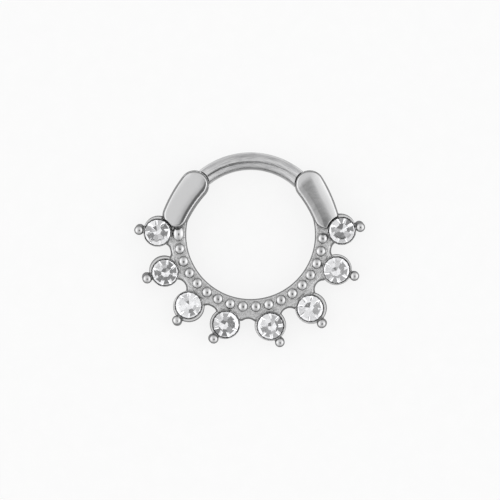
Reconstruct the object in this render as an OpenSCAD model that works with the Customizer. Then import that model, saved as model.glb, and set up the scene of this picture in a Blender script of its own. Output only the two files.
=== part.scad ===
// Daith clicker ring: a cast hoop with a beaded band, eight cut stones in cups and
// two slotted shoulders, closed by a hinged bar of round wire. It lies on its back.
// The origin is the centre of the hoop's opening, on the plane of the flat back.
// +Z is the front of the ring and +Y the side of the bar. Lengths are in millimetres.

/* [Hoop] */
// Inner diameter of the closed hoop
inner_d = 8.8; // [8.7:0.1:9.0]
// Width of the cast band between two cups
band_w = 1.18; // [1.1:0.02:1.18]
// Thickness of the band, back to front
band_t = 1.35; // [1.25:0.05:1.4]

/* [Bar] */
// Diameter of the wire that goes through the piercing (16 gauge)
bar_d = 1.2; // [1.0:0.05:1.25]
// Thickness of the flat tongue at each end of the bar
tongue_t = 0.6; // [0.5:0.05:0.65]
// Diameter of the hinge pin
pin_d = 0.5; // [0.4:0.05:0.6]

/* [Shoulders] */
// Width of a shoulder, across the hoop
shoulder_w = 1.92; // [1.86:0.02:1.96]
// Thickness of a shoulder, back to front
shoulder_t = 2.0; // [1.95:0.05:2.2]

/* [Stones] */
// Diameter of a stone over its girdle
stone_d = 1.74; // [1.65:0.01:1.75]
// Height of the cup's rim above the back
cup_h = 1.62; // [1.62:0.04:1.7]
// Thickness of the cup's wall at the rim
cup_wall = 0.1; // [0.08:0.02:0.12]
// Diameter of the ball on each prong
ball_d = 0.66; // [0.6:0.02:0.68]

/* [Beads] */
// Number of beads along the band
bead_count = 18; // [12:1:18]
// Diameter of a bead
bead_d = 0.66; // [0.6:0.02:0.7]
// Diameter of the larger bead next to the left shoulder
first_bead_d = 0.8; // [0.6:0.02:0.84]

/* [Hidden] */
$fn = 48;

SILVER = [0.78, 0.78, 0.79];
STEEL = [0.66, 0.66, 0.68];
CRYSTAL = [0.93, 0.95, 0.97];

// The stones, from the left shoulder round to the right one. Columns: direction from the
// hoop's centre, distance from it, direction of the prong from the stone, turn of the cut
// about its own axis, the way that the cup leans, its lean in degrees, and how much the
// band's edge is widened by on the way to the next cup.
DIRECTION = 0;
AT = 1;
PRONG = 2;
TURN = 3;
LEAN_TO = 4;
LEAN = 5;
WIDEN = 6;
STONES = [
    [178.8, 6.32, 173.5, 8, 262, 5, 0],
    [204.0, 6.36, 200, 30, 306, 6, 0.04],
    [228.7, 6.39, 232, 0, 85, 4, 0],
    [254.7, 6.33, 230, 19, 0, 3, 0.2],
    [282.2, 6.37, 300, 3, 250, 1, 0.06],
    [308.9, 6.45, 307, 37, 180, 3, 0.07],
    [337.5, 6.32, 341.5, 14, 214, 1.5, 0.03],
    [362.3, 6.21, 370, 26, 283, 6, 0]
];

inner_r = inner_d / 2;
gap = 0.03;            // play round a stone, and round the hinge pin
side_gap = 0.05;       // play of a tongue in its slot, front and back
over = 0.01;           // how far a cut runs past the face that it opens

// The shoulders: each a shallow arc with a round end at each tip. Columns: how far the
// middle of its upper end is outside the opening's edge, the direction of that middle from
// the hoop's centre, and the same two for its lower end. The right one is given mirrored.
UPPER_OUT = 0;
UPPER_A = 1;
LOWER_OUT = 2;
LOWER_A = 3;
LEFT = [0.71, 138.5, 0.89, 164.5];
RIGHT = [0.86, 140, 0.9, 166];
shoulder_r = shoulder_w / 2;
shoulder_bend = 9;     // radius of the arc
hinge_at = inner_r + LEFT[UPPER_OUT];
hinge_a = LEFT[UPPER_A];
latch_at = inner_r + RIGHT[UPPER_OUT];
latch_a = 180 - RIGHT[UPPER_A];
low_end_scale = 0.98;  // the lower round end is a hair smaller than the arc that it closes
side_z = 1.3;
dome_steps = 8;
dome_power = 0.6;

// The band and the webs that join it to the cups
band_r = inner_r + band_w;
band_start = 165;
band_sweep = 210;
web_r = 5.95;
web_in_r = band_r - 0.25;   // past the beads, so that no bead stands on this edge
notch_r = 0.6;

// The bar and its tongues, as radii and angles about the hoop's centre
bar_r = bar_d / 2;
bar_at = inner_r + bar_r;
bar_z = shoulder_t / 2;
bar_gap = 0.06;        // from the wire to the round end of a shoulder
bar_from = latch_a + 4;
bar_to = hinge_a - 4;
tongue_w = 0.84;
tongue_in = bar_at + 0.05 - tongue_w / 2;
tongue_out = tongue_in + tongue_w;
neck_from = hinge_a - 13;
neck_to = hinge_a - 3;
latch_from = latch_a + 13;
latch_to = 37.5;
eye_r = 0.62;          // round end of the tongue that turns on the pin
pin_r = pin_d / 2;
pin_h = 1.5;

// The slots in the shoulders
slot_t = tongue_t + 2 * side_gap;
slot_gap = 0.08;       // from a tongue's edge to the end of its slot
slot_opens = [-18, 158];
slot_z = bar_z - slot_t / 2;

// The cups and prongs
stone_r = stone_d / 2;
pocket_top_r = stone_r + gap;
cup_rim_r = pocket_top_r + cup_wall;
cup_draft = 0.1;       // how much wider the cup's foot is than its rim, on each side
cup_foot_r = cup_rim_r + cup_draft;
cup_foot_z = -0.15;    // a leaning cup starts this low, and is then filed flush with the back
seat_z = 1.44;
pocket_floor_r = 0.15;
pocket_floor_z = 0.64;
prong_at = 1.28;
ball_r = ball_d / 2;
ball_z = 1.32;
prong_foot_r = 0.26;
prong_neck_r = ball_r - 0.03;

// The cut of a stone: heights above the back, and radii as shares of the girdle's
table_z = 1.79;
girdle_z = 1.53;
girdle_h = 0.05;
culet_z = 0.75;
table_share = 0.56;
star_share = 0.76;
lower_share = 0.42;

// The beads
bead_at = inner_r + 0.51;
first_bead_a = 179.4;
bead_from = 191.4;
bead_to = 357;

module at(r, a, z = 0) {
    rotate(a) translate([r, 0, z]) children();
}

// The place of a cup, leaning about the middle of its rim
module cup_place(row) {
    at(row[AT], row[DIRECTION], cup_h)
        rotate(row[LEAN_TO] - row[DIRECTION])
            rotate([0, row[LEAN], 0])
                rotate(-row[LEAN_TO])
                    translate([0, 0, -cup_h]) children();
}

module hinge_place() {
    at(hinge_at, hinge_a) rotate(-hinge_a) children();
}

// A part of a turned ring: r0 to r1 from the axis, z0 to z1, from angle a0 on by sweep
module arc_block(r0, r1, z0, z1, a0, sweep) {
    rotate(a0)
        rotate_extrude(angle = sweep)
            translate([r0, z0]) square([r1 - r0, z1 - z0]);
}

// Half of a shoulder's cross-section: a flat back, an upright side and a domed front
function shoulder_half() = concat(
    [[0, 0], [shoulder_r, 0]],
    [for (i = [0 : dome_steps - 1])
        let (a = 90 * i / dome_steps)
        [shoulder_r * pow(cos(a), dome_power),
         side_z + (shoulder_t - side_z) * pow(sin(a), dome_power)]],
    [[0, shoulder_t]]
);

module shoulder_section() {
    polygon(shoulder_half());
    mirror([1, 0]) polygon(shoulder_half());
}

function polar(r, a) = [r * cos(a), r * sin(a)];

// Centre of the arc from u to v, on the left of the way from u to v
function arc_centre(u, v, r) =
    let (half = (v - u) / 2, share = sqrt(pow(r / norm(half), 2) - 1))
    u + half + share * [-half[1], half[0]];

module shoulder(row) {
    upper = polar(inner_r + row[UPPER_OUT], row[UPPER_A]);
    lower = polar(inner_r + row[LOWER_OUT], row[LOWER_A]);
    centre = arc_centre(upper, lower, shoulder_bend);
    from = atan2(upper[1] - centre[1], upper[0] - centre[0]);
    to = atan2(lower[1] - centre[1], lower[0] - centre[0]);
    translate(centre) rotate(from) {
        rotate_extrude(angle = to - from)
            translate([shoulder_bend, 0]) shoulder_section();
        translate([shoulder_bend, 0])
            rotate(180) rotate_extrude(angle = 180) polygon(shoulder_half());
    }
    translate(lower)
        scale(low_end_scale) rotate_extrude() polygon(shoulder_half());
}

module band() {
    arc_block(inner_r, band_r, 0, band_t, band_start, band_sweep);
}

// The band's outer edge, widened to reach the cups and scalloped between them
module webs() {
    first = STONES[0][DIRECTION];
    last = STONES[len(STONES) - 1][DIRECTION];
    difference() {
        arc_block(web_in_r, web_r, 0, band_t, first, last - first);
        for (i = [0 : len(STONES) - 2])
            at(band_r + STONES[i][WIDEN] + notch_r,
               (STONES[i][DIRECTION] + STONES[i + 1][DIRECTION]) / 2, -over)
                cylinder(r = notch_r, h = band_t + 2 * over);
    }
}

module beads() {
    at(bead_at, first_bead_a, band_t) sphere(d = first_bead_d);
    step = (bead_to - bead_from) / (bead_count - 2);
    for (i = [0 : bead_count - 2])
        at(bead_at, bead_from + step * i, band_t) sphere(d = bead_d);
}

module prong() {
    translate([0, 0, cup_foot_z])
        cylinder(r1 = prong_foot_r, r2 = prong_neck_r, h = ball_z - cup_foot_z);
    translate([0, 0, ball_z]) sphere(r = ball_r);
}

// What lies behind the plane of the back
module behind() {
    translate([-inner_d, -inner_d, -shoulder_t])
        cube([2 * inner_d, 2 * inner_d, shoulder_t]);
}

// A leaning cup and its prong, filed flush with the plane of the back
module cup(row) {
    difference() {
        cup_place(row) {
            translate([0, 0, cup_foot_z])
                cylinder(r1 = cup_foot_r, r2 = cup_rim_r, h = cup_h - cup_foot_z);
            rotate(row[PRONG]) translate([prong_at, 0, 0]) prong();
        }
        behind();
    }
}

// The hollow that a stone sits in: a straight bore over a cone
module stone_pocket(row) {
    cup_place(row) {
        translate([0, 0, seat_z]) cylinder(r = pocket_top_r, h = cup_h);
        translate([0, 0, pocket_floor_z])
            cylinder(r1 = pocket_floor_r, r2 = pocket_top_r, h = seat_z - pocket_floor_z);
    }
}

// The hinge slot: a round pocket about the pin, open where the tongue's neck swings
module hinge_slot() {
    translate([0, 0, slot_z]) hinge_place() {
        cylinder(r = eye_r + slot_gap, h = slot_t);
        arc_block(0, shoulder_w, 0, slot_t, slot_opens[0], slot_opens[1] - slot_opens[0]);
    }
}

// The latch slot: open upwards, the way that the free tongue lifts out
module latch_slot() {
    low = tongue_in * sin(latch_to) - slot_gap;
    right = tongue_out * cos(latch_to) + 2 * slot_gap;
    difference() {
        translate([0, low, slot_z]) cube([right, latch_at, slot_t]);
        cylinder(r = tongue_in - slot_gap, h = shoulder_t);
    }
}

module pin_hole() {
    hinge_place() translate([0, 0, -over]) cylinder(r = pin_r, h = pin_h + over);
}

module hoop() {
    color(SILVER)
    difference() {
        union() {
            band();
            webs();
            beads();
            for (row = STONES) cup(row);
            shoulder(LEFT);
            mirror([1, 0]) shoulder(RIGHT);
        }
        for (row = STONES) stone_pocket(row);
        hinge_slot();
        latch_slot();
        pin_hole();
    }
}

// A flat tongue along the bar, from angle a0 to a1
module tongue(a0, a1) {
    arc_block(tongue_in, tongue_out, bar_z - tongue_t / 2, bar_z + tongue_t / 2, a0, a1 - a0);
}

module bar() {
    color(SILVER)
    difference() {
        union() {
            difference() {
                rotate(bar_from)
                    rotate_extrude(angle = bar_to - bar_from)
                        translate([bar_at, bar_z]) circle(r = bar_r);
                at(hinge_at, hinge_a) cylinder(r = shoulder_r + bar_gap, h = shoulder_t);
                at(latch_at, latch_a) cylinder(r = shoulder_r + bar_gap, h = shoulder_t);
            }
            tongue(latch_to, latch_from);
            tongue(neck_from, neck_to);
            hinge_place() translate([0, 0, bar_z - tongue_t / 2])
                cylinder(r = eye_r, h = tongue_t);
        }
        hinge_place() cylinder(r = pin_r + gap, h = shoulder_t);
    }
}

module hinge_pin() {
    color(STEEL)
    hinge_place() cylinder(r = pin_r, h = pin_h);
}

// Corners of a stone: table, crown sides, girdle's upper and lower edge, pavilion sides, culet
function ring_points(n, r, z, a0 = 0) =
    [for (i = [0 : n - 1]) [r * cos(a0 + 360 * i / n), r * sin(a0 + 360 * i / n), z]];

function stone_points() =
    let (
        top_z = girdle_z + girdle_h / 2,
        low_z = girdle_z - girdle_h / 2,
        half = cos(22.5),
        star_z = table_z - (table_z - top_z) * (star_share * half - table_share) / (1 - table_share),
        lower_z = culet_z + (low_z - culet_z) * lower_share * half
    )
    concat(
        ring_points(8, table_share * stone_r, table_z),
        ring_points(8, star_share * stone_r, star_z, 22.5),
        ring_points(16, stone_r, top_z),
        ring_points(16, stone_r, low_z),
        ring_points(8, lower_share * stone_r, lower_z, 22.5),
        [[0, 0, culet_z]]
    );

function stone_faces() =
    let (table = 0, crown = 8, upper = 16, lower = 32, pavilion = 48, culet = 56)
    concat(
        [[for (i = [7 : -1 : 0]) table + i]],
        [for (i = [0 : 7]) [table + i, table + (i + 1) % 8, crown + i]],
        [for (i = [0 : 7]) [table + i, crown + i, upper + 2 * i, crown + (i + 7) % 8]],
        [for (i = [0 : 7]) [crown + i, upper + 2 * i + 1, upper + 2 * i]],
        [for (i = [0 : 7]) [crown + i, upper + (2 * i + 2) % 16, upper + 2 * i + 1]],
        [for (i = [0 : 15])
            [upper + i, upper + (i + 1) % 16, lower + (i + 1) % 16, lower + i]],
        [for (i = [0 : 7]) [pavilion + i, lower + 2 * i, lower + 2 * i + 1]],
        [for (i = [0 : 7]) [pavilion + i, lower + 2 * i + 1, lower + (2 * i + 2) % 16]],
        [for (i = [0 : 7]) [culet, pavilion + (i + 7) % 8, lower + 2 * i, pavilion + i]]
    );

module stone(row) {
    color(CRYSTAL)
    cup_place(row)
        rotate(row[TURN])
            polyhedron(points = stone_points(), faces = stone_faces());
}

hoop();
bar();
hinge_pin();
for (i = [0 : len(STONES) - 1])
    stone(STONES[i]);
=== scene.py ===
"""Looks of a daith clicker ring: cast hoop, hinged wire bar, pin and eight foiled stones.

The shapes are worked out in millimetres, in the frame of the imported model, and scaled to
metres when their meshes are made. Sizes that match the solids carry the same names. The hoop
and the bar are distance fields, negative inside, and their meshes lie where the field is zero.
"""

from collections import namedtuple
import math

import bpy
import numpy as np
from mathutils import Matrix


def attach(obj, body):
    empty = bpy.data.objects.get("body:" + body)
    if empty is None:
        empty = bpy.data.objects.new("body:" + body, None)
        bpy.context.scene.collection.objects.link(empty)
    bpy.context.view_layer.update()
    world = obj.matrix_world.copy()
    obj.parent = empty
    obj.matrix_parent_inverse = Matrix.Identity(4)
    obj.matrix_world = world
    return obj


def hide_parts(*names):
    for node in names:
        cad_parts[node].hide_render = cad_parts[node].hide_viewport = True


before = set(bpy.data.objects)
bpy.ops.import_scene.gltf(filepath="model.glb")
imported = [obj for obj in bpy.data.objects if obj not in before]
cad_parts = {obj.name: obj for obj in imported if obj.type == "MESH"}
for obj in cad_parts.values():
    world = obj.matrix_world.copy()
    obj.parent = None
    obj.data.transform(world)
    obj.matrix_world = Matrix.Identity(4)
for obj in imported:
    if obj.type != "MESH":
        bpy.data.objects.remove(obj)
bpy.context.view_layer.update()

MM = 0.001

# Sizes, in millimetres. Directions and turns are in degrees, and a draft is a slope. A name
# that ends in _R is a radius, in _T a thickness, back to front, in _Z a height above the
# back, in _A a direction and in _AT a distance from the hoop's centre, or a prong's from
# its cup's.

GAP = 0.03                           # play round a stone, and round the pin in the bar's eye
SIDE_GAP = 0.05                      # play of a tongue in its slot, back and front

# The band and the webs that widen it between the cups
INNER_R = 4.4
BAND_W = 1.18
BAND_R = INNER_R + BAND_W
BAND_T = 1.35
BAND_MIDDLE_A = 270.0
BAND_HALF_SWEEP = 105.0
BAND_EDGE = 0.075
BAND_DRAFT = (0.03, 0.10)            # inner and outer wall
BAND_DRAFT_IN = 0.3                  # depth under each wall to which its draft reaches
WEB_IN_R = BAND_R - 0.25
WEB_R = 5.95
WEB_BLEND = 0.1
NOTCH_R = 0.6
NOTCH_EDGE = 0.06
BACK_EDGE = 0.05

# The shoulders
SHOULDER_R = 0.96
HINGE_AT = INNER_R + 0.71
HINGE_A = 138.5
LATCH_AT = INNER_R + 0.86
LATCH_A = 40.0
SHOULDER_BEND = 9.0
SHOULDER_T = 2.0
SHOULDER_BLANK_T = SHOULDER_T + 1    # before its top is shaped
SHOULDER_EDGE = 0.12
SHOULDER_FOOT_EDGE = 0.05
SHOULDER_DRAFTED = (-0.5, 0.5)       # where across a shoulder its two drafts are full
SHOULDER_BLEND = 0.035
RIDGE_RISE = 0.02                    # how far the ridge stands above the shoulder's thickness
RIDGE_TURN = 0.3                     # radius that the ridge turns with at the upper end
FLATTENED = (-0.25, 0.5)             # stretch of the middle line where the flatter face ends
END_FALL_FROM = 0.2                  # distance past the upper end where the face bends down
CUP_CLEAR_R = 1.05                   # the shoulders are cut back round the cups next to them
CUP_CLEAR_Z = 1.3
CUP_CLEAR_EDGE = 0.03

# The bar, its tongues, the pin and the slots
BAR_R = 0.6
BAR_AT = INNER_R + BAR_R
BAR_Z = SHOULDER_T / 2
BAR_GAP = 0.06
BAR_ENDS = (LATCH_A + 4, HINGE_A - 4)
BAR_END_EDGE = 0.05
TONGUE_T = 0.6
TONGUE_W = 0.84
TONGUE_OUTWARD = 0.05                # how far outside the wire's middle a tongue's lies
TONGUE_IN = BAR_AT + TONGUE_OUTWARD - TONGUE_W / 2
TONGUE_OUT = TONGUE_IN + TONGUE_W
TONGUE_EDGE = 0.05
TONGUE_BLEND = 0.05
NECK = (HINGE_A - 13, HINGE_A - 3)
LATCH = (37.5, LATCH_A + 13)
EYE_R = 0.62
EYE_EDGE = 0.04
PIN_R = 0.25
PIN_H = 1.5
PIN_FIT = 0.012                      # the hairline round the pin in the hoop
SLOT_T = TONGUE_T + 2 * SIDE_GAP
SLOT_GAP = 0.08
SLOT_OPENS = (-18.0, 158.0)
CUT_EDGE = 0.02                      # rounding where a pocket, slot or hole breaks the surface

# The stones
STONE_R = 0.87
TABLE_Z = 1.79
GIRDLE_TOP = 1.555
GIRDLE_LOW = 1.475
CULET_Z = 0.75
CULET_OFF = 0.065                    # how far off the middle a stone's lower facets meet
TABLE_SHARE = 0.64
FACETS = 8

# The cups and their prongs
CUP_H = 1.62
CUP_RIM_R = 0.965
CUP_FOOT_Z = -0.15
CUP_UNDER_Z = CUP_FOOT_Z - 1         # leaning cups start here, and the back cuts them flush
CUP_EDGE = 0.03
CUP_BLEND = 0.05
POCKET_R = STONE_R + GAP
SEAT_Z = 1.44
POCKET_FLOOR_R = 0.15
POCKET_FLOOR_Z = 0.64
POCKET_LAP = 0.01                    # overlap of the bore and the cone
PRONG_AT = 1.28
PRONG_EDGE = 0.02
PRONG_BLEND = 0.07
BALL_R = 0.33
BALL_Z = 1.32
PRONG_FOOT_R = BALL_R
PRONG_NECK_R = BALL_R - 0.03
BALL_BLEND = 0.03

# The beads
BEAD_COUNT = 18
BEAD_R = 0.345
BEAD_AT = INNER_R + 0.51
BEAD_BLEND = 0.05
FIRST_BEAD_A = 179.1
BEAD_FROM = 191.4
BEAD_TO = 357.0
FIRST_BEAD = (0.39, 0.52, 0.36)      # half sizes across the band, along it and upwards

# The tops of beads and balls are worn to a larger sphere, given by its radius as a multiple
# of theirs and by how much lower it lies
BEAD_WORN_TIMES = 1.8
BALL_WORN_TIMES = 2.2
WORN_DEPTH = 0.02
WORN_EDGE = 0.05

# Turn of what lies off the middle, from one stone or bead to the next
GOLDEN_TURN = 137.5

# How far from its middle each form can change the hoop
BEAD_REACH = 0.35                    # past the bead's own half size
CUP_REACH = 2.1
POCKET_REACH = 1.2
SHOULDER_REACH = 2.5
PIN_REACH = 0.6
SLOTS_FROM_Y = 1.5

# A cup with its stone: direction and distance of its middle, direction of its prong, turn of
# the stone's cut, way that the cup leans, its lean, how much wider the web is on the way to
# the next cup, and radius of the cup's foot
Cup = namedtuple("Cup", "a at prong_a turn lean_a lean web foot_r")
CUPS = [
    Cup(178.8, 6.32, 173.5, 8, 262, 5, 0, 1.03),
    Cup(204.0, 6.36, 200, 30, 306, 6, 0.04, 1.03),
    Cup(228.7, 6.39, 232, 0, 85, 4, 0, 1.08),
    Cup(254.7, 6.33, 230, 19, 0, 3, 0.2, 1.04),
    Cup(282.2, 6.37, 300, 3, 250, 1, 0.06, 1.08),
    Cup(308.9, 6.45, 307, 37, 180, 3, 0.07, 1.09),
    Cup(337.5, 6.32, 341.5, 14, 214, 1.5, 0.03, 1.06),
    Cup(362.3, 6.21, 370, 26, 283, 6, 0, 1.03),
]

# A shoulder: distance, direction and half width of its upper and its lower end, drafts of its
# inner and outer wall, and distance from the inner outline to the ridge along its top. Then
# pairs of distance from the ridge and slope, for the flank inside it and the face outside it,
# how closely the ridge follows the outline round the upper end (1 is wholly), by what share
# the face is flatter there, and how it bends down past that end.
Shoulder = namedtuple("Shoulder", "upper_at upper_a upper_r lower_at lower_a lower_r draft "
                      "ridge flank face wrap flatter end_bend")
LEFT, RIGHT = 1, -1
# The right one is given mirrored
SHOULDERS = {
    LEFT: Shoulder(
        upper_at=5.13, upper_a=138.5, upper_r=1.01, lower_at=5.29, lower_a=165.3, lower_r=0.92,
        draft=(0.045, 0.085), ridge=0.44,
        flank=((0.0, 0.0), (0.06, 0.03), (0.14, 0.08), (0.23, 0.15), (0.27, 0.5)),
        face=((0.0, 0.0), (0.07, 0.012), (0.2, 0.022), (0.34, 0.033), (0.5, 0.045),
              (1.0, 0.06), (1.09, 0.12), (1.29, 0.25), (1.5, 0.42)),
        wrap=1.0, flatter=0.0, end_bend=0.0),
    RIGHT: Shoulder(
        upper_at=5.285, upper_a=140.0, upper_r=1.015, lower_at=5.30, lower_a=166.4, lower_r=0.88,
        draft=(0.03, 0.07), ridge=0.53,
        flank=((0.0, 0.0), (0.03, 0.025), (0.1, 0.034), (0.25, 0.045), (0.4, 0.05)),
        face=((0.0, 0.02), (0.09, 0.042), (0.29, 0.055), (0.43, 0.074), (0.57, 0.097),
              (0.7, 0.13), (0.77, 0.16), (0.84, 0.21), (0.97, 0.31), (1.2, 0.5)),
        wrap=0.35, flatter=0.5, end_bend=0.13),
}

# Tools for distance fields. p holds points, one to a row.


def smooth_min(a, b, k):
    h = np.maximum(k - np.abs(a - b), 0) / k
    return np.minimum(a, b) - h * h * k / 4


def smooth_max(a, b, k):
    return -smooth_min(-a, -b, k)


def between(value, start, full):
    """0 at start, 1 at full, and a straight rise from the one to the other."""
    return np.clip((value - start) / (full - start), 0, 1)


def raised(flat, z, low, high, edge, draft=0):
    """The distance to a flat outline made into that to a plate from low to high, which has
    rounded edges. Its walls lean inward as they rise, by the draft."""
    side = flat + edge + draft * z
    cap = np.maximum(low - z, z - high) + edge
    outside = np.hypot(np.maximum(side, 0), np.maximum(cap, 0))
    return np.minimum(np.maximum(side, cap), 0) + outside - edge


def polar(r, a):
    return np.array([r * math.cos(math.radians(a)), r * math.sin(math.radians(a))])


def turned(a, axis):
    c, s = math.cos(math.radians(a)), math.sin(math.radians(a))
    if axis == "z":
        return np.array([[c, -s, 0], [s, c, 0], [0, 0, 1]])
    return np.array([[c, 0, s], [0, 1, 0], [-s, 0, c]])


def from_axis(p, place=(0, 0)):
    """Distance from the upright axis through a place."""
    return np.hypot(p[:, 0] - place[0], p[:, 1] - place[1])


def direction(p, place=(0, 0)):
    return np.degrees(np.arctan2(p[:, 1] - place[1], p[:, 0] - place[0]))


def wrapped(a):
    """The same direction between -180 and 180."""
    return (a + 180) % 360 - 180


def near(p, place, reach):
    """Indices of the points in a square column about a place."""
    x, y = place
    return np.flatnonzero((np.abs(p[:, 0] - x) < reach) & (np.abs(p[:, 1] - y) < reach))


HINGE_PLACE = polar(HINGE_AT, HINGE_A)
LATCH_PLACE = polar(LATCH_AT, LATCH_A)

# The band and its beads


def band_field(p):
    r = from_axis(p)
    off = wrapped(direction(p) - BAND_MIDDLE_A)
    ends = np.radians(np.abs(off) - BAND_HALF_SWEEP) * r
    band = np.maximum(INNER_R - r, r - BAND_R)
    first, last = CUPS[0].a - BAND_MIDDLE_A, CUPS[-1].a - BAND_MIDDLE_A
    web = np.maximum(WEB_IN_R - r, r - WEB_R)
    web = np.maximum(web, np.radians(np.maximum(first - off, off - last)) * r)
    for this, after in zip(CUPS, CUPS[1:]):
        notch = polar(BAND_R + this.web + NOTCH_R, (this.a + after.a) / 2)
        web = smooth_max(web, NOTCH_R - from_axis(p, notch), NOTCH_EDGE)
    flat = np.maximum(smooth_min(band, web, WEB_BLEND), ends)
    draft = np.interp(r, (INNER_R + BAND_DRAFT_IN, BAND_R - BAND_DRAFT_IN), BAND_DRAFT)
    return raised(flat, p[:, 2], 0, BAND_T, BAND_EDGE, draft)


def beads():
    """Centre, half sizes and direction of each bead."""
    yield polar(BEAD_AT, FIRST_BEAD_A), FIRST_BEAD, FIRST_BEAD_A
    for i in range(BEAD_COUNT - 1):
        a = BEAD_FROM + (BEAD_TO - BEAD_FROM) * i / (BEAD_COUNT - 2)
        yield polar(BEAD_AT, a), (BEAD_R,) * 3, a


def bead_field(p, centre, half, a):
    """A dome, a little flatter at its top, where casting and polishing wear it."""
    c, s = polar(1, a)
    x, y = p[:, 0] - centre[0], p[:, 1] - centre[1]
    q = np.stack([x * c + y * s, y * c - x * s, p[:, 2] - BAND_T], 1)
    scaled = q / half
    length = np.maximum(np.linalg.norm(scaled, axis=1), 1e-6)
    slope = np.maximum(np.linalg.norm(scaled / half, axis=1) / length, 1e-6)
    dome = (length - 1) / slope
    worn_r = BEAD_WORN_TIMES * half[2]
    worn = np.linalg.norm(q - (0, 0, half[2] - WORN_DEPTH - worn_r), axis=1) - worn_r
    return smooth_max(dome, worn, WORN_EDGE)


# The cups, their prongs and the pockets for the stones


def cup_frame(cup):
    """Centre of a cup's rim, and the rotation that leans the cup about it."""
    lean = turned(cup.lean_a, "z") @ turned(cup.lean, "y") @ turned(-cup.lean_a, "z")
    return np.array([*polar(cup.at, cup.a), CUP_H]), lean


def to_cup(p, cup):
    centre, lean = cup_frame(cup)
    return (p - centre) @ lean + (0, 0, CUP_H)


def from_cup(q, cup):
    centre, lean = cup_frame(cup)
    return (q - (0, 0, CUP_H)) @ lean.T + centre


def cup_field(p, cup):
    q = to_cup(p, cup)
    draft = (cup.foot_r - CUP_RIM_R) / CUP_H
    return raised(from_axis(q) - cup.foot_r, q[:, 2], CUP_UNDER_Z, CUP_H, CUP_EDGE, draft)


def prong_field(p, cup):
    q = to_cup(p, cup)
    flat, z = from_axis(q, polar(PRONG_AT, cup.prong_a)), q[:, 2]
    up = (z - CUP_FOOT_Z) / (BALL_Z - CUP_FOOT_Z)
    neck_r = PRONG_FOOT_R + (PRONG_NECK_R - PRONG_FOOT_R) * up
    neck = raised(flat - neck_r, z, CUP_UNDER_Z, BALL_Z, PRONG_EDGE)
    ball = np.hypot(flat, z - BALL_Z) - BALL_R
    worn_r = BALL_WORN_TIMES * BALL_R
    worn = np.hypot(flat, z - (BALL_Z + BALL_R - WORN_DEPTH - worn_r)) - worn_r
    return smooth_min(neck, smooth_max(ball, worn, WORN_EDGE), BALL_BLEND)


def setting_field(p, cup):
    return smooth_min(cup_field(p, cup), prong_field(p, cup), PRONG_BLEND)


def pocket_field(p, cup):
    """A straight bore that the stone's girdle sits in, over a cone."""
    q = to_cup(p, cup)
    flat, z = from_axis(q), q[:, 2]
    bore = np.maximum(flat - POCKET_R, SEAT_Z - z)
    rise, run = SEAT_Z - POCKET_FLOOR_Z, POCKET_R - POCKET_FLOOR_R
    outside = flat - POCKET_FLOOR_R - run * (z - POCKET_FLOOR_Z) / rise
    cone = outside * rise / math.hypot(rise, run)
    cone = np.maximum(cone, np.maximum(POCKET_FLOOR_Z - z, z - SEAT_Z - POCKET_LAP))
    return np.minimum(bore, cone)


# The shoulders


def shoulder_arc(side):
    """Ends of a shoulder's middle line, and the centre of the arc between them."""
    shoulder = SHOULDERS[side]
    upper = polar(shoulder.upper_at, shoulder.upper_a)
    lower = polar(shoulder.lower_at, shoulder.lower_a)
    half = (lower - upper) / 2
    share = math.sqrt((SHOULDER_BEND / np.hypot(*half)) ** 2 - 1)
    return upper, lower, upper + half + share * np.array([-half[1], half[0]])


def shoulder_plan(m, side):
    """For points seen from the front: place along the middle line (0 at its upper end, 1 at
    its lower one), distance outward from it, distance past its upper end, half width of the
    shoulder, and distance to its outline."""
    shoulder = SHOULDERS[side]
    upper, lower, centre = shoulder_arc(side)
    start, end = (math.atan2(q[1] - centre[1], q[0] - centre[0]) for q in (upper, lower))
    a = np.arctan2(m[:, 1] - centre[1], m[:, 0] - centre[0])
    along = (a - start) / (end - start)
    across = from_axis(m, centre) - SHOULDER_BEND
    beyond = np.maximum(-along, 0) * abs(end - start) * SHOULDER_BEND
    half_w = shoulder.upper_r + (shoulder.lower_r - shoulder.upper_r) * np.clip(along, 0, 1)
    flat = np.abs(across) - half_w
    flat = np.where(along < 0, from_axis(m, upper) - shoulder.upper_r, flat)
    flat = np.where(along > 1, from_axis(m, lower) - shoulder.lower_r, flat)
    return along, across, beyond, half_w, flat


def fallen(d, slopes):
    """How far a face has fallen at each distance d from the ridge."""
    total = np.zeros_like(d)
    for (d0, s0), (d1, s1) in zip(slopes, slopes[1:]):
        run = np.clip(d, d0, d1) - d0
        total += s0 * run + (s1 - s0) / (d1 - d0) * run * run / 2
    return total + slopes[-1][1] * np.maximum(d - slopes[-1][0], 0)


def past_ridge(across, beyond, half_w, ridge):
    """How far outside the ridge a point is. The ridge runs along the inner outline and round
    the upper end, and the face falls away from it. Farther out, that turn fades."""
    a = across - ridge
    inner, outer = np.maximum(-a, 0) + RIDGE_TURN, np.maximum(a, 0)
    fade = 1 / (1 + (outer / RIDGE_TURN) ** 2)
    return half_w + RIDGE_TURN - np.hypot(inner, beyond * fade) + outer


def shoulder_top(along, across, beyond, half_w, shoulder):
    """Height of a shoulder's top, and its slope."""
    out = past_ridge(across, beyond * shoulder.wrap, half_w, shoulder.ridge)
    t = between(along, *FLATTENED)
    full = 1 - shoulder.flatter * (1 - t * t * (3 - 2 * t))
    top = SHOULDER_T + RIDGE_RISE - fallen(np.maximum(out, 0), shoulder.face) * full
    top -= fallen(np.maximum(-out, 0), shoulder.flank)
    top -= shoulder.end_bend * np.maximum(beyond - END_FALL_FROM, 0) ** 2 / 2
    inside, outside = (np.interp(d, *zip(*slopes))
                       for d, slopes in ((-out, shoulder.flank), (out, shoulder.face)))
    return top, np.where(out < 0, inside, outside)


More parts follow.
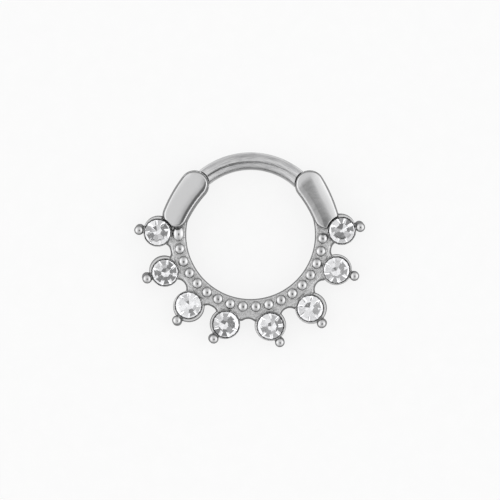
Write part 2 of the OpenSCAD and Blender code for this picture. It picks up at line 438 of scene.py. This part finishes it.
def shoulder_field(p, side):
    shoulder = SHOULDERS[side]
    m = p * (side, 1, 1)
    along, across, beyond, half_w, flat = shoulder_plan(m, side)
    draft = np.interp(across, SHOULDER_DRAFTED, shoulder.draft)
    plate = raised(flat, m[:, 2], 0, SHOULDER_BLANK_T, SHOULDER_FOOT_EDGE, draft)
    top, slope = shoulder_top(along, across, beyond, half_w, shoulder)
    body = smooth_max(plate, (m[:, 2] - top) / np.hypot(1, slope), SHOULDER_EDGE)
    q = to_cup(p, CUPS[0 if side == LEFT else -1])
    clear = np.maximum(from_axis(q) - CUP_CLEAR_R, CUP_CLEAR_Z - q[:, 2])
    return smooth_max(body, -clear, CUP_CLEAR_EDGE)


# The slots and the pin's hole


def slot(flat, p):
    return np.maximum(flat, np.abs(p[:, 2] - BAR_Z) - SLOT_T / 2)


def hinge_slot_field(p):
    """A round clearance about the pin, open where the neck of the tongue swings."""
    r = from_axis(p, HINGE_PLACE)
    off = wrapped(direction(p, HINGE_PLACE) - sum(SLOT_OPENS) / 2)
    half = (SLOT_OPENS[1] - SLOT_OPENS[0]) / 2
    fan = np.maximum(r - 2 * SHOULDER_R, np.radians(np.abs(off) - half) * r)
    return slot(np.minimum(r - EYE_R - SLOT_GAP, fan), p)


def latch_slot_field(p):
    """Open upwards and inwards, the way that the free tongue lifts out."""
    low = TONGUE_IN * math.sin(math.radians(LATCH[0])) - SLOT_GAP
    right = TONGUE_OUT * math.cos(math.radians(LATCH[0])) + 2 * SLOT_GAP
    flat = np.maximum(np.maximum(low - p[:, 1], p[:, 0] - right),
                      TONGUE_IN - SLOT_GAP - from_axis(p))
    return slot(np.maximum(flat, -p[:, 0]), p)


def pin_hole_field(p):
    return np.maximum(from_axis(p, HINGE_PLACE) - PIN_R - PIN_FIT, p[:, 2] - PIN_H)


# The whole hoop, and the bar


def join(f, p, k, blend, field, *args):
    """Adds a form to the field's values f at the points with indices k."""
    if len(k):
        f[k] = smooth_min(f[k], field(p[k], *args), blend)


def cut(f, p, k, field, *args):
    """Takes a form out of the field's values f at the points with indices k."""
    if len(k):
        f[k] = smooth_max(f[k], -field(p[k], *args), CUT_EDGE)


def hoop_field(p):
    f = band_field(p)
    for centre, half, a in beads():
        k = near(p, centre, max(half) + BEAD_REACH)
        join(f, p, k, BEAD_BLEND, bead_field, centre, half, a)
    for cup in CUPS:
        k = near(p, polar(cup.at, cup.a), CUP_REACH)
        join(f, p, k, CUP_BLEND, setting_field, cup)
    for side in SHOULDERS:
        upper, lower, _ = shoulder_arc(side)
        k = near(p, (upper + lower) / 2 * (side, 1), SHOULDER_REACH)
        join(f, p, k, SHOULDER_BLEND, shoulder_field, side)
    for cup in CUPS:
        cut(f, p, near(p, polar(cup.at, cup.a), POCKET_REACH), pocket_field, cup)
    slots = np.flatnonzero((p[:, 1] > SLOTS_FROM_Y) & (np.abs(p[:, 2] - BAR_Z) < SLOT_T))
    cut(f, p, slots, hinge_slot_field)
    cut(f, p, slots, latch_slot_field)
    cut(f, p, near(p, HINGE_PLACE, PIN_REACH), pin_hole_field)
    return smooth_max(f, -p[:, 2], BACK_EDGE)


def tongue(flat, p, edge):
    return raised(flat, p[:, 2], BAR_Z - TONGUE_T / 2, BAR_Z + TONGUE_T / 2, edge)


def bar_field(p):
    r, a = from_axis(p), direction(p)
    f = np.hypot(r - BAR_AT, p[:, 2] - BAR_Z) - BAR_R
    f = np.maximum(f, np.radians(np.maximum(BAR_ENDS[0] - a, a - BAR_ENDS[1])) * r)
    for place in (HINGE_PLACE, LATCH_PLACE):
        f = smooth_max(f, SHOULDER_R + BAR_GAP - from_axis(p, place), BAR_END_EDGE)
    across = np.maximum(TONGUE_IN - r, r - TONGUE_OUT)
    for low, high in (NECK, LATCH):
        mid, half = (low + high) / 2, (high - low) / 2
        flat = np.maximum(across, np.radians(np.abs(a - mid) - half) * r)
        f = smooth_min(f, tongue(flat, p, TONGUE_EDGE), TONGUE_BLEND)
    from_pin = from_axis(p, HINGE_PLACE)
    f = smooth_min(f, tongue(from_pin - EYE_R, p, EYE_EDGE), TONGUE_BLEND)
    return smooth_max(f, PIN_R + GAP - from_pin, CUT_EDGE)


# Meshes from fields

CHUNK = 400000                       # points worked out at once
LEAST_SLOPE = 0.05                   # keeps a step to the surface finite where a field is level


def in_chunks(field, p):
    return np.concatenate([field(p[i:i + CHUNK]) for i in range(0, len(p), CHUNK)])


def sampled(field, low, high, step, coarse=4, margin=1.5):
    """Field values on a grid, worked out finely only in the blocks that the surface can pass:
    those where it is within the margin, in blocks, of the middle."""
    n = np.ceil((np.array(high) - low) / (step * coarse)).astype(int)
    block = step * coarse
    axes = [low[i] + block * (np.arange(n[i]) + 0.5) for i in range(3)]
    centres = np.stack(np.meshgrid(*axes, indexing="ij"), -1).reshape(-1, 3)
    rough = in_chunks(field, centres)
    values = np.repeat(np.repeat(np.repeat(rough.reshape(n), coarse, 0), coarse, 1), coarse, 2)
    live = np.flatnonzero(np.abs(rough) < block * margin)
    offsets = np.stack(np.meshgrid(*[np.arange(coarse)] * 3, indexing="ij"), -1).reshape(-1, 3)
    cells = np.stack(np.unravel_index(live, n), 1) * coarse
    index = (cells[:, None] + offsets[None]).reshape(-1, 3)
    values[tuple(index.T)] = in_chunks(field, low + step * (index + 0.5))
    return values, np.array(low) + step * 0.5


def gradient(field, p, eps=0.002):
    g = np.empty_like(p)
    for i in range(3):
        d = np.zeros(3)
        d[i] = eps
        g[:, i] = (in_chunks(field, p + d) - in_chunks(field, p - d)) / (2 * eps)
    return g


def settled(field, p, reach, rounds=3):
    """Moves points onto the surface and gives its normals there."""
    for _ in range(rounds):
        g = gradient(field, p)
        slope = np.maximum((g * g).sum(1, keepdims=True), LEAST_SLOPE)
        move = -in_chunks(field, p)[:, None] * g / slope
        size = np.linalg.norm(move, axis=1, keepdims=True)
        p = p + move * np.minimum(1, reach / np.maximum(size, 1e-9))
    g = gradient(field, p)
    return p, g / np.maximum(np.linalg.norm(g, axis=1, keepdims=True), 1e-9)


def contour(field, low, high, step):
    """A closed quad mesh where the field is zero. Each grid cell that the surface passes gets
    one point, and each grid edge that it crosses joins the four cells round it in a quad."""
    values, origin = sampled(field, low, high, step)
    inside = values < 0
    n = np.array(values.shape) - 1
    total = np.zeros(tuple(n) + (3,), np.float32)
    count = np.zeros(tuple(n), np.int16)
    cuts = []
    for axis in range(3):
        a = [slice(None)] * 3
        b = [slice(None)] * 3
        a[axis], b[axis] = slice(None, -1), slice(1, None)
        a, b = tuple(a), tuple(b)
        cross = np.argwhere(inside[a] != inside[b])
        va, vb = values[a][tuple(cross.T)], values[b][tuple(cross.T)]
        place = cross.astype(float)
        place[:, axis] += va / (va - vb)
        u, v = [i for i in range(3) if i != axis]
        for du in (0, 1):
            for dv in (0, 1):
                cell = cross.copy()
                cell[:, u] -= du
                cell[:, v] -= dv
                ok = ((cell >= 0) & (cell < n)).all(1)
                np.add.at(total, tuple(cell[ok].T), place[ok])
                np.add.at(count, tuple(cell[ok].T), 1)
        cuts.append((axis, cross, inside[a][tuple(cross.T)]))
    used = np.argwhere(count > 0)
    number = np.full(tuple(n), -1)
    number[tuple(used.T)] = np.arange(len(used))
    points = origin + step * total[tuple(used.T)] / count[tuple(used.T)][:, None]
    quads = []
    for axis, cross, starts_inside in cuts:
        u, v = (axis + 1) % 3, (axis + 2) % 3
        corners = []
        for du, dv in ((1, 1), (0, 1), (0, 0), (1, 0)):
            cell = cross.copy()
            cell[:, u] -= du
            cell[:, v] -= dv
            corners.append(number[tuple(cell.T)])
        quad = np.stack(corners, 1)
        quad[~starts_inside] = quad[~starts_inside][:, ::-1]
        quads.append(quad)
    return points, np.concatenate(quads)


def openness(field, p, normals, reach):
    """1 where nothing stands near the surface, 0 deep in a groove."""
    return np.clip(in_chunks(field, p + normals * reach) / reach, 0, 1)


# Meshes from points


def ring(count, r, z, middle=(0, 0)):
    """Points evenly round a level circle."""
    return [(*(polar(r, 360 * i / count) + middle), z) for i in range(count)]


def wall(low, high, count):
    """Faces between two rings, given by the indices of their first points."""
    after = [(i + 1) % count for i in range(count)]
    return [(low + i, low + after[i], high + after[i], high + i) for i in range(count)]


def new_mesh(name, points, faces, materials, normals=None, shades=None, face_slots=None):
    """An object from points in millimetres. Shades are numbers at the points, which its
    materials read."""
    mesh = bpy.data.meshes.new(name)
    mesh.from_pydata((np.asarray(points) * MM).tolist(), [], [list(map(int, f)) for f in faces])
    for m in materials:
        mesh.materials.append(m)
    if face_slots is not None:
        mesh.polygons.foreach_set("material_index", np.asarray(face_slots, np.int32))
    for key, value in (shades or {}).items():
        layer = mesh.attributes.new(key, "FLOAT", "POINT")
        layer.data.foreach_set("value", np.asarray(value, np.float32))
    if normals is not None:
        mesh.polygons.foreach_set("use_smooth", np.ones(len(mesh.polygons), bool))
        mesh.normals_split_custom_set_from_vertices(np.asarray(normals).tolist())
    mesh.update()
    obj = bpy.data.objects.new(name, mesh)
    bpy.context.scene.collection.objects.link(obj)
    return obj


# Materials. The scales of their noise are per metre, and the wire's per millimetre.


class Nodes:
    """A short way to write node trees."""

    def __init__(self, tree):
        self.tree = tree
        tree.nodes.clear()

    def add(self, kind, inputs=(), **settings):
        node = self.tree.nodes.new(kind)
        for key, value in settings.items():
            setattr(node, key, value)
        for key, value in dict(inputs).items():
            if isinstance(value, bpy.types.NodeSocket):
                self.tree.links.new(value, node.inputs[key])
            else:
                node.inputs[key].default_value = value
        return node

    def math(self, operation, *values, clamp=False):
        inputs = dict(enumerate(values))
        return self.add("ShaderNodeMath", inputs, operation=operation, use_clamp=clamp).outputs[0]

    def shade(self, name):
        return self.add("ShaderNodeAttribute", attribute_name=name).outputs["Fac"]

    def ramp(self, value, *stops):
        """Pairs of a value and its colour. A single number is a grey."""
        node = self.add("ShaderNodeValToRGB", {"Fac": value})
        ramp = node.color_ramp
        while len(ramp.elements) < len(stops):
            ramp.elements.new(0.5)
        for element, (at, color) in zip(ramp.elements, stops):
            element.position = at
            element.color = (*(color if isinstance(color, tuple) else (color,) * 3), 1)
        return node.outputs["Color"]

    def span(self, value, source, target):
        """Maps the range source to the range target, and holds the ends."""
        node = self.add("ShaderNodeMapRange", {"Value": value,
                                               "From Min": source[0], "From Max": source[1],
                                               "To Min": target[0], "To Max": target[1]})
        return node.outputs["Result"]

    def blend(self, share, none, full):
        """The value none where the share is 0, and full where it is 1."""
        return self.span(share, (0, 1), (none, full))

    def noise(self, scale, detail, rough, vector=None, stretch=None):
        where = vector or self.add("ShaderNodeTexCoord").outputs["Object"]
        if stretch:
            where = self.add("ShaderNodeMapping", {"Vector": where, "Scale": stretch}).outputs[0]
        node = self.add("ShaderNodeTexNoise", {"Vector": where, "Scale": scale, "Detail": detail,
                                               "Roughness": rough})
        return node.outputs["Fac"]

    def bump(self, height, strength, depth_mm):
        node = self.add("ShaderNodeBump", {"Strength": strength, "Distance": depth_mm * MM,
                                           "Height": height})
        return node.outputs[0]


def material(name):
    m = bpy.data.materials.new(name)
    m.use_nodes = True
    return m, Nodes(m.node_tree)


def surfaced(m, n, inputs):
    """Ends a material with a shader that has these inputs."""
    shader = n.add("ShaderNodeBsdfPrincipled", inputs)
    n.add("ShaderNodeOutputMaterial", {"Surface": shader.outputs[0]})
    return m


def cast_metal():
    """Polished casting: bright high places, a dull fine grain and painted shade in the low ones,
    and a dark skin, worn in streaks, on the walls, whose darkness is painted shade. A painted
    reflection, a dark dot, lies in the tops of beads and balls."""
    m, n = material("cast_metal")
    grain = n.noise(scale=6500, detail=4, rough=0.65)
    waves = n.noise(scale=1400, detail=2, rough=0.5)
    scuffs = n.noise(scale=2600, detail=5, rough=0.7, stretch=(1, 1, 0.3))
    streaks = n.noise(scale=1500, detail=5, rough=0.7, stretch=(1, 1, 3))
    skin_and_shade = n.shade("skin_and_shade")
    remaining = n.math("MULTIPLY", skin_and_shade, n.span(streaks, (0.36, 0.68), (1.0, 0.5)))
    polish = n.math("MULTIPLY", n.shade("polish"), n.blend(skin_and_shade, 1.0, 0.5))
    # Painted shade: darker where the surface is less open, in grooves and recesses. Scuffs
    # lighten it and dull grain specks darken it.
    unshaded_and_clean = n.math("MULTIPLY_ADD", n.shade("open"), 0.75, n.math("MULTIPLY", scuffs, 0.3),
                   clamp=True)
    specks = n.math("MULTIPLY", n.span(grain, (0.38, 0.6), (0.55, 0.0)),
                    n.blend(polish, 1.0, 0.0))
    unshaded_and_clean = n.math("SUBTRACT", unshaded_and_clean, specks, clamp=True)
    color = n.ramp(unshaded_and_clean, (0.0, 0.38), (0.45, 0.62), (0.80, (0.77, 0.77, 0.775)),
                   (1.0, (0.80, 0.80, 0.805)))
    # The dark skin's painted shade and the painted reflection dots darken the colour
    painted_darkening = n.math("MULTIPLY", n.blend(skin_and_shade, 1.0, 0.3), n.blend(n.shade("painted_reflection"), 1.0, 0.4))
    color = n.add("ShaderNodeMix", {0: 1.0, 6: color, 7: painted_darkening}, data_type="RGBA",
                  blend_type="MULTIPLY").outputs[2]
    dull = n.span(grain, (0.3, 0.7), (0.22, 0.36))
    bright = n.span(scuffs, (0.35, 0.7), (0.05, 0.12))
    height = n.math("MULTIPLY", grain, n.blend(polish, 4.5, 0.03))
    height = n.math("MULTIPLY_ADD", waves, n.blend(polish, 1.2, 0.4), height)
    return surfaced(m, n, {
        "Base Color": color,
        "Roughness": n.add("ShaderNodeMix", {0: polish, 2: dull, 3: bright}).outputs[0],
        "Normal": n.bump(height, 0.35, 0.03),
        "Metallic": n.blend(remaining, 1.0, 0.1),
        "Specular IOR Level": 0.0,
        "Specular Tint": (0.7, 0.7, 0.7, 1)})


def wire_metal():
    """Drawn wire, with polishing lines that run along it."""
    m, n = material("drawn_wire")
    where = n.add("ShaderNodeCombineXYZ", {"X": n.shade("along"), "Y": n.shade("around"),
                                           "Z": 0.0}).outputs[0]
    lines = n.noise(scale=1.0, detail=3, rough=0.6, vector=where, stretch=(0.5, 6.0, 1))
    fine = n.noise(scale=1.0, detail=3, rough=0.6, vector=where, stretch=(1.6, 22.0, 1))
    both = n.math("MULTIPLY_ADD", fine, 0.7, n.math("MULTIPLY", lines, 0.6))
    return surfaced(m, n, {
        "Base Color": n.ramp(both, (0.54, (0.56, 0.56, 0.57)), (0.65, (0.74, 0.74, 0.745)),
                             (0.76, (0.86, 0.86, 0.865))),
        "Roughness": n.span(both, (0.35, 0.95), (0.06, 0.12)),
        "Normal": n.bump(both, 0.50, 0.02),
        "Metallic": 1.0,
        "Specular Tint": (0.65, 0.65, 0.65, 1)})


def crystal():
    m, n = material("crystal")
    haze = n.noise(scale=2500, detail=3, rough=0.6)
    return surfaced(m, n, {
        "Base Color": n.ramp(haze, (0.3, (0.97, 0.975, 0.98)), (0.7, 1.0)),
        "Roughness": n.span(haze, (0.3, 0.8), (0.0, 0.01)),
        "Normal": n.bump(haze, 0.03, 0.01),
        "IOR": 1.58,
        "Transmission Weight": 1.0})


def foil():
    m, n = material("stone_foil")
    speck = n.noise(scale=4000, detail=4, rough=0.6)
    return surfaced(m, n, {
        "Base Color": n.ramp(speck, (0.25, (0.86, 0.86, 0.87)), (0.6, (0.95, 0.95, 0.955))),
        "Roughness": n.span(speck, (0.3, 0.8), (0.01, 0.05)),
        "Normal": n.bump(speck, 0.05, 0.01),
        "Metallic": 1.0})


def floor_card():
    m, n = material("pale_card")
    tooth = n.noise(scale=900, detail=4, rough=0.6)
    return surfaced(m, n, {
        "Base Color": n.ramp(tooth, (0.2, 0.16), (0.8, 0.18)),
        "Roughness": 0.9,
        "Normal": n.bump(tooth, 0.05, 0.02),
        "Specular IOR Level": 0.1,
        "Emission Color": (1, 1, 1, 1),
        "Emission Strength": 0.82})


CAST = cast_metal()
WIRE = wire_metal()
CRYSTAL = crystal()
FOIL = foil()

# The hoop

HOOP_STEP = 0.0625
HOOP_LOW = (-8.1, -7.9, -0.2)
HOOP_HIGH = (8.1, 5.3, 2.2)

# Where a point belongs to a form, as the form's distances that give 0 and 1
ON_BEAD = (0.06, 0.02)
ON_FORM = (0.04, 0.0)

# Where shades start and where they are full, as heights of the surface's normal: 1 is a face
# turned up, 0 an upright wall and -1 a face turned down
BACK_FACING = (-0.4, -0.8)
SKIN_AND_SHADE_FACING = (0.80, 0.5)
BEAD_TOP_FACING = (0.35, 0.70)
BEAD_FOOT_FACING = (0.62, 0.42)
BALL_SIDE_FACING = (0.85, 0.5)

BAND_POLISH = 0.1
BACK_POLISH = 0.5
CUP_POLISH = 0.8
# How much dark skin, its darkness painted shade, the foot of a bead gets
BEAD_FOOT_SKIN_AND_SHADE = 0.6
CUP_FOOT = (0.75, 0.55)              # heights where painted shade starts low on a cup's wall, and where it is full
SEAM_R = 0.955                       # outer edge of the painted shade in the seam round a stone
SEAM_SHIFT = 0.025                   # how far the lean of the cup moves it
SEAM_FADE = 0.03
SEAM_DEPTH = 0.1
LEAST_R = 0.1                        # keeps a share of the radius finite on a cup's axis
REFLECTION_OFF = 0.025                     # painted reflection, a dark dot in the top of a bead: its offset, radius and swing
REFLECTION_R = 0.105
REFLECTION_R_SWING = 0.02
REFLECTION_R_TURN = 2.4                    # radians from bead to bead
# A painted reflection: depth and radius of a dark dot in the top of a ball
BALL_REFLECTION = 0.4
BALL_REFLECTION_R = 0.07
OPEN_REACH = 0.16


def spot(q, centre, radius):
    """1 at the centre, and less with the distance from it."""
    return np.exp(-((q[:, :2] - centre) ** 2).sum(1) / radius ** 2)


def hoop_shades(p, normals):
    """How polished each point is: shoulders, domes and cups most, the band least. How much dark
    skin it has, which takes off metal and polish and whose darkness is painted shade: most on
    walls, round the feet of beads and balls, low on the cups and in the seams round the stones.
    And how deep it lies in the painted reflection, a dark dot, in the top of a bead or ball."""
    facing = normals[:, 2]
    back = between(facing, *BACK_FACING)
    polish = np.full(len(p), BAND_POLISH)
    # Walls get the dark skin, whose darkness is painted shade
    skin_and_shade = between(facing, *SKIN_AND_SHADE_FACING) * (1 - back)
    painted_reflection = np.zeros(len(p))
    for number, (centre, half, a) in enumerate(beads()):
        k = near(p, centre, max(half) + BEAD_REACH)
        on = between(bead_field(p[k], centre, half, a), *ON_BEAD)
        polish[k] = np.maximum(polish[k], on * between(facing[k], *BEAD_TOP_FACING))
        # Painted shade and dark skin round the foot of each bead
        foot = BEAD_FOOT_SKIN_AND_SHADE * between(facing[k], *BEAD_FOOT_FACING)
        skin_and_shade[k] = skin_and_shade[k] * (1 - on) + foot * on
        # A painted reflection: a dark dot near the top of every bead but the first
        if half != FIRST_BEAD:
            middle = centre + polar(REFLECTION_OFF, GOLDEN_TURN * number)
            radius = REFLECTION_R + REFLECTION_R_SWING * math.sin(REFLECTION_R_TURN * number)
            painted_reflection[k] += on * spot(p[k], middle, radius)
    for cup in CUPS:
        k = near(p, polar(cup.at, cup.a), CUP_REACH)
        q = to_cup(p[k], cup)
        on_ball = between(prong_field(p[k], cup), *ON_FORM)
        on_cup = between(cup_field(p[k], cup), *ON_FORM)
        polish[k] = np.maximum(polish[k], CUP_POLISH * np.maximum(on_ball, on_cup))
        # Painted shade in the seam round the stone, wider on the side away from the lean, and low
        # on the cup's wall
        flat = from_axis(q)
        uncovered = -(q[:, :2] @ polar(1, cup.lean_a)) / np.maximum(flat, LEAST_R)
        seam_shade = np.clip((SEAM_R + SEAM_SHIFT * uncovered - flat) / SEAM_FADE, 0, 1)
        seam_shade *= q[:, 2] > CUP_H - SEAM_DEPTH
        skin_and_shade[k] = skin_and_shade[k] * (1 - on_cup * (1 - between(q[:, 2], *CUP_FOOT))) + on_cup * seam_shade
        # Painted shade and dark skin on the lower sides of the balls
        ball_side_shade = on_ball * between(facing[k], *BALL_SIDE_FACING) * (1 - back[k])
        skin_and_shade[k] = np.maximum(skin_and_shade[k], ball_side_shade)
        # A painted reflection: a dark dot in the top of each ball
        painted_reflection[k] += BALL_REFLECTION * on_ball * spot(q, polar(PRONG_AT, cup.prong_a), BALL_REFLECTION_R)
    for side in SHOULDERS:
        k = np.flatnonzero(p[:, 0] * side < 0)
        polish[k] = np.maximum(polish[k], between(shoulder_field(p[k], side), *ON_FORM))
    polish += (BACK_POLISH - polish) * back
    return {"polish": polish, "skin_and_shade": np.clip(skin_and_shade, 0, 1), "painted_reflection": painted_reflection}


def make_hoop():
    points, quads = contour(hoop_field, HOOP_LOW, HOOP_HIGH, HOOP_STEP)
    points, normals = settled(hoop_field, points, HOOP_STEP)
    shades = hoop_shades(points, normals)
    # How open the surface is; the metal paints shade where it is low
    shades["open"] = openness(hoop_field, points, normals, OPEN_REACH)
    return new_mesh("cast_hoop", points, quads, [CAST], normals, shades)


cast_hoop = make_hoop()
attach(cast_hoop, "hoop")
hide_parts("hoop")

# The bar and its pin

BAR_STEP = 0.045
BAR_LOW = (-4.9, 2.5, 0.2)
BAR_HIGH = (4.9, 5.8, 1.8)

# Radius and height of the pin's corners: a domed, filed foot, a shallow waist, a bevelled head
PIN_OUTLINE = (
    (0.10, 0.0), (0.19, 0.008), (0.232, 0.03), (PIN_R, 0.06), (PIN_R, 0.4),
    (PIN_R - 0.006, 0.7), (PIN_R - 0.006, 1.3), (PIN_R, 1.36), (PIN_R, PIN_H - 0.05),
    (PIN_R - 0.05, PIN_H),
)
PIN_SIDES = 48


def make_bar():
    points, quads = contour(bar_field, BAR_LOW, BAR_HIGH, BAR_STEP)
    points, normals = settled(bar_field, points, BAR_STEP)
    shades = {
        "along": np.arctan2(points[:, 1], points[:, 0]) * BAR_AT,
        "around": np.arctan2(points[:, 2] - BAR_Z, from_axis(points) - BAR_AT) * BAR_R,
    }
    return new_mesh("wire_bar", points, quads, [WIRE], normals, shades)


wire_bar = make_bar()
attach(wire_bar, "bar")
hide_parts("bar")


def make_pin():
    points = [(*HINGE_PLACE, 0.0)]
    for r, z in PIN_OUTLINE:
        points += ring(PIN_SIDES, r, z, HINGE_PLACE)
    points.append((*HINGE_PLACE, PIN_H))
    points = np.array(points)
    foot, head = 0, len(points) - 1
    starts = [1 + PIN_SIDES * j for j in range(len(PIN_OUTLINE))]
    after = [(i + 1) % PIN_SIDES for i in range(PIN_SIDES)]
    faces = [(foot, starts[0] + after[i], starts[0] + i) for i in range(PIN_SIDES)]
    for low, high in zip(starts, starts[1:]):
        faces += wall(low, high, PIN_SIDES)
    faces += [(head, starts[-1] + i, starts[-1] + after[i]) for i in range(PIN_SIDES)]
    shades = {
        "along": points[:, 2],
        "around": np.radians(direction(points, HINGE_PLACE)) * PIN_R,
    }
    pin = new_mesh("pivot_pin", points, faces, [WIRE], shades=shades)
    pin.data.polygons.foreach_set("use_smooth", np.ones(len(faces), bool))
    return pin


pivot_pin = make_pin()
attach(pivot_pin, "hoop")
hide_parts("hinge_pin")

# The stones


def make_stone(number, cup):
    """A single cut stone, clear above the girdle and foiled below it. As many facets lead down
    to a point as lie round the table, and the girdle between them is scalloped. The point is a
    little off the middle."""
    corners = 2 * FACETS
    half = math.cos(math.radians(180 / FACETS))
    crown = (TABLE_Z - GIRDLE_TOP) / (1 - TABLE_SHARE * half)
    top = ring(corners, STONE_R, GIRDLE_TOP)
    top[::2] = [(x, y, z + crown * (1 - half)) for x, y, z in top[::2]]
    low = ring(corners, STONE_R, GIRDLE_LOW)
    point = np.array([*polar(CULET_OFF, GOLDEN_TURN * number), CULET_Z])
    for i in range(1, corners, 2):
        # The middle of a lower facet's rim lies in the plane of its two corners and the point
        nx, ny, nz = np.cross(low[i - 1] - point, low[(i + 1) % corners] - point)
        x, y, _ = low[i]
        low[i] = (x, y, CULET_Z - (nx * (x - point[0]) + ny * (y - point[1])) / nz)
    points = ring(FACETS, TABLE_SHARE * STONE_R, TABLE_Z) + top + low + [tuple(point)]
    upper, lower, culet = FACETS, FACETS + corners, FACETS + 2 * corners
    faces = [list(range(FACETS))]
    faces += [(i, upper + 2 * i, upper + 2 * i + 1, upper + (2 * i + 2) % corners,
               (i + 1) % FACETS) for i in range(FACETS)]
    faces += wall(lower, upper, corners)
    clear = len(faces)
    faces += [(culet, lower + (2 * i + 2) % corners, lower + 2 * i + 1, lower + 2 * i)
              for i in range(FACETS)]
    points = from_cup(np.array(points) @ turned(cup.turn, "z").T, cup)
    slots = [0] * clear + [1] * FACETS
    return new_mesh(f"cut_stone_{number}", points, faces, [CRYSTAL, FOIL], face_slots=slots)


for number, cup in enumerate(CUPS, 1):
    stone = make_stone(number, cup)
    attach(stone, "hoop")
    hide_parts(f"stone_{number}")

# The floor

FLOOR_R = 600
FLOOR_Z = -0.02                      # just clear of the flat back
FLOOR_SIDES = 96


def make_floor():
    """A bright card under the ring. Reflections don't see it, and see the tent instead."""
    points = [(0, 0, FLOOR_Z)] + ring(FLOOR_SIDES, FLOOR_R, FLOOR_Z)
    faces = [(0, 1 + i, 1 + (i + 1) % FLOOR_SIDES) for i in range(FLOOR_SIDES)]
    floor = new_mesh("floor", points, faces, [floor_card()])
    floor.visible_glossy = False


# The light

# Brightness of the tent from straight below, at 0, to straight above, at 1
TENT_LEVELS = ((0.0, 0.95), (0.18, 0.90), (0.36, 0.70), (0.46, 0.52), (0.68, 0.52), (0.79, 0.58),
               (0.88, 0.62), (0.95, 0.70), (1.0, 0.74))
# The dark shape of a camera in its roof, whose height above the ring is 1
DARK_MIDDLE = (0.12, -0.22)
DARK_HALF = (0.20, 0.30)
DARK_EDGE = (0.75, 1.3)              # distances from its middle, in half sizes, where it fades
DARK_LEVEL = 0.2
LEAST_HEIGHT = 0.15
THROUGH_GAIN = 1.3                   # how the tent looks through a stone
THROUGH_LIFT = 0.06
BACKGROUND = (0.93, 0.93, 0.93, 1)


def make_light_tent():
    """A bright tent, brighter at its sides, with the dark shape of a camera in its roof. The
    scene's own camera doesn't see it: past the floor, it sees a plain background."""
    world = bpy.data.worlds.new("light_tent")
    bpy.context.scene.world = world
    world.use_nodes = True
    n = Nodes(world.node_tree)
    toward = n.add("ShaderNodeTexCoord").outputs["Generated"]
    x, y, z = n.add("ShaderNodeSeparateXYZ", {0: toward}).outputs
    base = n.ramp(n.math("MULTIPLY_ADD", z, 0.5, 0.5), *TENT_LEVELS)
    sides = n.math("MULTIPLY", n.math("MULTIPLY", x, x), n.span(z, (-0.1, 0.5), (0.24, 1.2)))
    low_side = n.math("MULTIPLY", n.span(y, (-0.2, -0.8), (0.0, 0.42)),
                      n.span(z, (0.05, -0.3), (0.0, 1.0)))
    level = n.math("SUBTRACT", n.math("ADD", base, sides), low_side)
    above = n.math("MAXIMUM", z, LEAST_HEIGHT)
    squares = []
    for value, middle, half in zip((x, y), DARK_MIDDLE, DARK_HALF):
        off = n.math("SUBTRACT", n.math("DIVIDE", value, above), middle)
        off = n.math("DIVIDE", off, half)
        squares.append(n.math("MULTIPLY", off, off))
    off = n.math("SQRT", n.math("ADD", *squares))
    level = n.math("MULTIPLY", level, n.span(off, DARK_EDGE, (DARK_LEVEL, 1.0)))
    path = n.add("ShaderNodeLightPath").outputs
    through = path["Is Transmission Ray"]
    level = n.math("MULTIPLY_ADD", level, n.blend(through, 1.0, THROUGH_GAIN),
                   n.blend(through, 0, THROUGH_LIFT))
    tent = n.add("ShaderNodeBackground", {"Color": level, "Strength": 1.0})
    plain = n.add("ShaderNodeBackground", {"Color": BACKGROUND, "Strength": 1.0})
    mixed = n.add("ShaderNodeMixShader", {0: path["Is Camera Ray"], 1: tent.outputs[0],
                                          2: plain.outputs[0]})
    n.add("ShaderNodeOutputWorld", {"Surface": mixed.outputs[0]})


# The camera

FRAME_W = 34.06                      # what the photograph's frame spans at the ring
FRAME_MIDDLE = (-0.04, -1.05)
LENS_MM = 200.0
SENSOR_MM = 36.0


def make_camera():
    """Straight above the ring, as far off as a long lens asks for the photograph's frame."""
    camera = bpy.data.cameras.new("camera")
    camera.lens, camera.sensor_width = LENS_MM, SENSOR_MM
    camera.clip_start, camera.clip_end = 0.01, 10
    obj = bpy.data.objects.new("camera", camera)
    height = FRAME_W * LENS_MM / SENSOR_MM + SHOULDER_T / 2
    obj.location = [v * MM for v in (*FRAME_MIDDLE, height)]
    bpy.context.scene.collection.objects.link(obj)
    bpy.context.scene.camera = obj


make_floor()
make_light_tent()
make_camera()
bpy.context.scene.view_settings.view_transform = "Standard"
bpy.context.scene.view_settings.look = "None"
